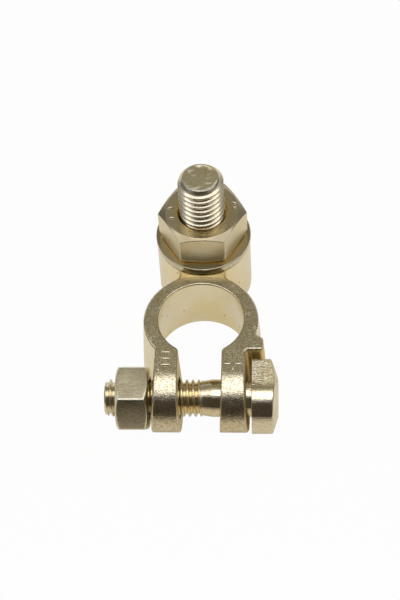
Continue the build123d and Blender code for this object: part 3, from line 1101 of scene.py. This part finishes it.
# %% Stud
stud_thread_start = 15.15 * MM
stud_thread_angle = radians(144)
stud_thread_length = stud_high.z - stud_thread_start
stud_pitch = 1.5 * MM
keep_margin = 0.01 * MM
stud_values = {
    "Crest Radius": 4.95 * MM,
    "Root Radius": 4.24 * MM,
    "Pitch": stud_pitch,
    "Length": stud_thread_length,
    "Point Radius": 3.9 * MM,
    "Point Length": 1.2 * MM,
    "Start Radius": 4.95 * MM,
    "Start Length": 0.1 * MM,
    "Runout": 1.2 * MM,
    "Dish": 0.3 * MM,
    "Lumps": 0.35 * MM,
    "Turns": ceil(stud_thread_length / stud_pitch) + 1,
}
stud_turn = Matrix.Translation((0, stud_axis_y, stud_thread_start))
stud_turn = stud_turn @ Matrix.Rotation(stud_thread_angle, 4, "Z")
threaded_piece(
    "stud",
    "casting",
    lambda face: max(v.co.z for v in face.verts) <= stud_thread_start + keep_margin,
    stud_turn,
    stud_values,
    stud_metal,
)

# %% [markdown]
# ## Bolt
# The bolt slides through the ears as its nut turns, so it is a body of its own.
# Its thread has a pitch of 1.25 mm and swells out of a thinner shank, which is
# why it starts at a smaller radius than its crests.

# %% Bolt
bolt_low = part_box("clamp_bolt")[0]
bolt_thread_start = 0.6 * MM
bolt_thread_angle = radians(161)
bolt_thread_length = bolt_thread_start - bolt_low.x
bolt_pitch = 1.25 * MM
bolt_values = {
    "Crest Radius": 3.95 * MM,
    "Root Radius": 3.27 * MM,
    "Pitch": bolt_pitch,
    "Length": bolt_thread_length,
    "Point Radius": 3.35 * MM,
    "Point Length": 0.9 * MM,
    "Start Radius": 3.65 * MM,
    "Start Length": 0.3 * MM,
    "Runout": 0.7 * MM,
    "Dish": 0.1 * MM,
    "Lumps": 0.1 * MM,
    "Turns": ceil(bolt_thread_length / bolt_pitch) + 1,
}
bolt_turn = Matrix.Translation((bolt_thread_start, bolt_axis_y, bolt_axis_z))
bolt_turn = bolt_turn @ Matrix.Rotation(-pi / 2, 4, "Y") @ Matrix.Rotation(bolt_thread_angle, 4, "Z")
threaded_piece(
    "clamp_bolt",
    "clamp_bolt",
    lambda face: min(v.co.x for v in face.verts) >= bolt_thread_start - keep_margin,
    bolt_turn,
    bolt_values,
    bolt_metal,
)

# %% [markdown]
# ## Raised marks
# Low raised marks stand on the ears and on the stud's nut. They could be flat
# decals, but their height catches the light. These are plain bars and dots that
# spell nothing. A node tree sets softened blocks in a row, half of each block
# sunk into the metal, and each row has its own place, turn and size.

# %% Mark tree
mark_height = 0.32 * MM
mark_softness = 2
mark_inputs = {
    "Count": 1,
    "Spacing": 1.0 * MM,
    "Size X": 1.0 * MM,
    "Size Y": 1.0 * MM,
    "Height": mark_height,
    "Material": "Material",
}


def mark_tree():
    """Geometry Nodes tree of a row of soft-edged bars along +X."""
    outputs = {"Geometry": "Geometry"}
    tree, given, results = new_tree("GeometryNodeTree", "raised_marks", mark_inputs, outputs)
    step = node(tree, "ShaderNodeCombineXYZ", {0: given["Spacing"]}).outputs[0]
    row = node(tree, "GeometryNodeMeshLine", {"Count": given["Count"], "Offset": step})
    sides = {0: given["Size X"], 1: given["Size Y"], 2: times(tree, given["Height"], 2.0)}
    size = node(tree, "ShaderNodeCombineXYZ", sides).outputs[0]
    block = node(tree, "GeometryNodeMeshCube", {"Size": size}).outputs["Mesh"]
    soft = node(tree, "GeometryNodeSubdivisionSurface", {"Mesh": block, "Level": mark_softness})
    stand = {"Points": row.outputs["Mesh"], "Instance": soft.outputs[0]}
    placed = node(tree, "GeometryNodeInstanceOnPoints", stand)
    end_tree(tree, placed.outputs[0], given, results)
    return tree


raised_marks = mark_tree()
print(raised_marks.name, len(raised_marks.nodes), "nodes")

# %% [markdown]
# ## Rows of marks
# All rows on one piece become one mesh, because they never move apart. A row is
# x, y, turn, count, spacing, size along and size across, in millimetres and
# degrees.

# %% Rows of marks
def mark_piece(name, body, level, rows):
    """One mesh of raised marks on a level face."""
    shape = bmesh.new()
    for x, y, turn, count, spacing, size_x, size_y in rows:
        sides = {"Size X": size_x * MM, "Size Y": size_y * MM, "Height": mark_height}
        values = {"Count": count, "Spacing": spacing * MM, **sides, "Material": mark_metal}
        row = from_tree(name + "_row", raised_marks, values)
        move = Matrix.Translation((x * MM, y * MM, level))
        row.transform(move @ Matrix.Rotation(radians(turn), 4, "Z"))
        shape.from_mesh(row)
        bpy.data.meshes.remove(row)
    for face in shape.faces:
        face.smooth = True
    mesh = bpy.data.meshes.new(name)
    shape.to_mesh(mesh)
    shape.free()
    mesh.materials.clear()
    mesh.materials.append(mark_metal)
    piece = new_object(name, mesh)
    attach(piece, body)
    print(name, len(mesh.polygons), "faces")


ears_top = 15 * MM
ear_rows = [
    (-7.15, -8.9, -90, 3, 1.6, 0.8, 2.9),
    (-8.58, -13.46, 0, 1, 1.0, 0.9, 0.9),
    (5.92, -11.84, 0, 2, 2.25, 1.9, 0.9),
    (7.05, -13.18, 0, 1, 1.0, 0.8, 1.0),
    (9.65, 1.07, 20, 2, 0.7, 0.4, 0.9),
    (11.55, -2.36, -20, 2, 0.6, 0.4, 0.9),
    (-10.46, -5.26, 35, 2, 0.7, 0.4, 0.9),
]
mark_piece("ear_marks", "casting", ears_top, ear_rows)

nut_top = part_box("stud_nut")[1].z
nut_rows = [
    (-6.95, 22.77, 15, 1, 1.0, 1.8, 0.6),
    (-6.5, 19.92, -10, 1, 1.0, 1.6, 0.6),
    (6.9, 24.14, -10, 1, 1.0, 1.7, 0.6),
    (7.05, 22.85, 5, 1, 1.0, 1.4, 0.6),
]
mark_piece("stud_nut_marks", "stud_nut", nut_top, nut_rows)

# %% [markdown]
# ## Order in the trees
# Nodes made by a script all lie in one heap. They could be placed one by one,
# but a rule is enough: a node's column is the number of its links to the end.

# %% Order in the trees
column_width = 220
row_height = 180


def lay_out(tree):
    """Set the nodes in columns that end at the output."""
    columns = {made.name: 0 for made in tree.nodes}
    for _ in range(len(tree.nodes)):
        for link in tree.links:
            beyond = columns[link.to_node.name] + 1
            columns[link.from_node.name] = max(columns[link.from_node.name], beyond)
    rows = dict.fromkeys(columns.values(), 0)
    for made in tree.nodes:
        column = columns[made.name]
        made.location = (-column * column_width, -rows[column] * row_height)
        rows[column] += 1


materials = [table_mesh.materials[0], mark_metal, *finish_of.values()]
trees = [world.node_tree, *bpy.data.node_groups, *(material.node_tree for material in materials)]
for tree in trees:
    lay_out(tree)
print(len(trees), "trees laid out")
